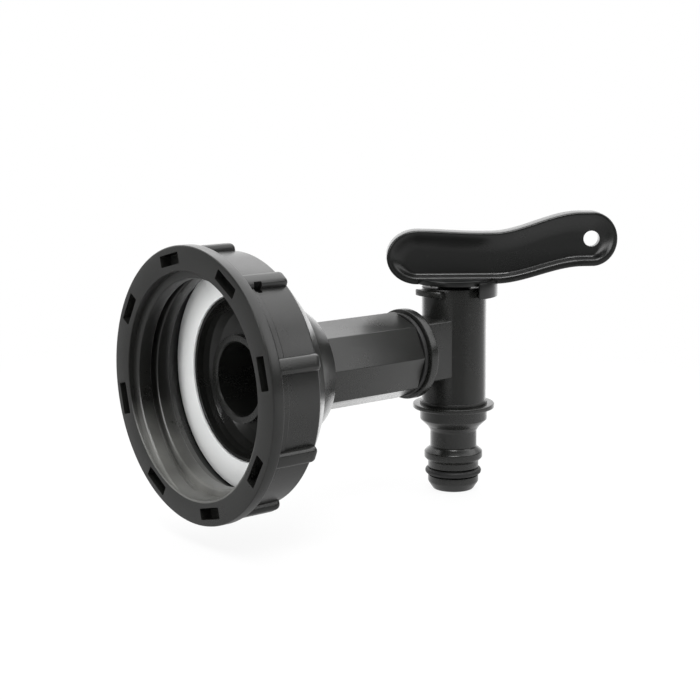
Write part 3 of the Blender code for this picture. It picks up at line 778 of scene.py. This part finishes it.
FLOOR_HALF, FLOOR_GAP = 6.0, 0.0002
SHADOW_KEPT, SHADOW_FADE = 0.88, 0.4
MIRRORED_NEAR, MIRRORED_RIGHT, MIRRORED_BEHIND = 0.5, 1.0, 2.3
RISE_RIGHT, RISE_BEHIND = 8.0, 20.0
SKY_NEAR, SKY_FAR, SKY_START, SKY_END = 0.08, 1.8, 0.3, 1.0
BRIGHT_WAY = (0.45, 0.88, 0.1)
# Place, aim, size and power of each lamp.
LAMPS = {
    "overhead": ((0.25, 0.12, 0.75), (0.05, 0.0, 0.0), (1.4, 1.2), 11.0),
    "right": ((0.52, -0.6, 0.46), (0.05, 0.0, 0.0), (0.5, 0.5), 1.8),
    "front": ((-0.9, -0.08, 0.34), (0.0, 0.0, 0.0), (0.5, 0.5), 5.2),
    "high": ((-0.3, -0.45, 0.75), (0.05, 0.0, 0.0), (0.35, 0.35), 5.0),
}
VIEWPOINT = ((0.7758, 0.11467, -0.62048, -0.24367),
             (-0.63095, 0.13139, -0.76461, -0.34705),
             (-0.00616, 0.98468, 0.17428, 0.08258),
             (0.0, 0.0, 0.0, 1.0))


def grey(level):
    """A plain grey colour."""
    return (level, level, level, 1.0)


def stage_finish():
    """White floor with a faint shadow near the object.

    What the object mirrors of it is dimmer, and brighter behind the tap.
    """
    f = Finish("floor_white", Roughness=0.9)
    f.put("Base Color", grey(0.86))
    path = f.node("ShaderNodeLightPath")
    mirrored = f.value(path, "Is Glossy Ray")
    seen = (f.value(path, "Is Camera Ray") + mirrored).clamped()
    x, y, _ = f.places()
    right = (x * RISE_RIGHT).clamped()
    behind = right * (y * RISE_BEHIND).clamped()
    tone = f.mix(right, grey(MIRRORED_NEAR), grey(MIRRORED_RIGHT))
    tone = f.mix(mirrored, grey(1.0), f.mix(behind, tone, grey(MIRRORED_BEHIND)))
    glow = f.node("ShaderNodeEmission", {}, {"Color": tone, "Strength": 1.0})
    far = f.value(f.node("ShaderNodeVectorMath", {"operation": "LENGTH"}, {0: f.place()}), "Value")
    share = seen * (far * SHADOW_FADE + SHADOW_KEPT).clamped()
    mix = f.node("ShaderNodeMixShader", {}, {0: share, 1: f.shader.outputs[0], 2: glow.outputs[0]})
    f.feed(f.tree.nodes["Material Output"].inputs["Surface"], mix.outputs[0])
    return f.material


def floor():
    """A wide plain floor just under the object."""
    bm = bmesh.new()
    bmesh.ops.create_grid(bm, x_segments=1, y_segments=1, size=FLOOR_HALF)
    obj = piece_from("floor", bm)
    obj.location = (0.0, 0.0, cad_box[0][2] - FLOOR_GAP)
    obj.data.materials.append(stage_finish())


def panel(name, place, aim, size, power):
    """A soft rectangular lamp that looks at a point."""
    data = bpy.data.lights.new(name, "AREA")
    data.shape = "RECTANGLE"
    data.size, data.size_y = size
    data.energy = power
    obj = link(bpy.data.objects.new(name, data))
    obj.location = place
    way = Vector(aim) - Vector(place)
    obj.rotation_euler = way.to_track_quat("-Z", "Y").to_euler()
    obj.visible_camera = False


def sky():
    """White to the camera; its light is bright behind the object and dim in front of it."""
    world = bpy.data.worlds.new("studio")
    bpy.context.scene.world = world
    world.use_nodes = True
    s = Shading(world.node_tree)
    way = s.node("ShaderNodeTexCoord").outputs["Generated"]
    facing = s.value(s.node("ShaderNodeVectorMath", {"operation": "DOT_PRODUCT"},
                            {0: way, 1: BRIGHT_WAY}), "Value")
    rise = ((facing - SKY_START) * (1.0 / (SKY_END - SKY_START))).clamped()
    level = rise * (SKY_FAR - SKY_NEAR) + SKY_NEAR
    seen = s.value(s.node("ShaderNodeLightPath"), "Is Camera Ray")
    background = s.tree.nodes["Background"]
    background.inputs["Color"].default_value = grey(1.0)
    s.feed(background.inputs["Strength"], level * (1.0 - seen) + seen)


def camera():
    """The photograph's viewpoint."""
    data = bpy.data.cameras.new("camera")
    data.sensor_width = 36.0
    data.lens = 82.3
    data.clip_start = 0.01
    obj = link(bpy.data.objects.new("camera", data))
    obj.matrix_world = Matrix(VIEWPOINT)
    bpy.context.scene.camera = obj


floor()
sky()
for lamp, settings in LAMPS.items():
    panel(lamp, *settings)
camera()
bpy.context.scene.view_settings.view_transform = "Standard"
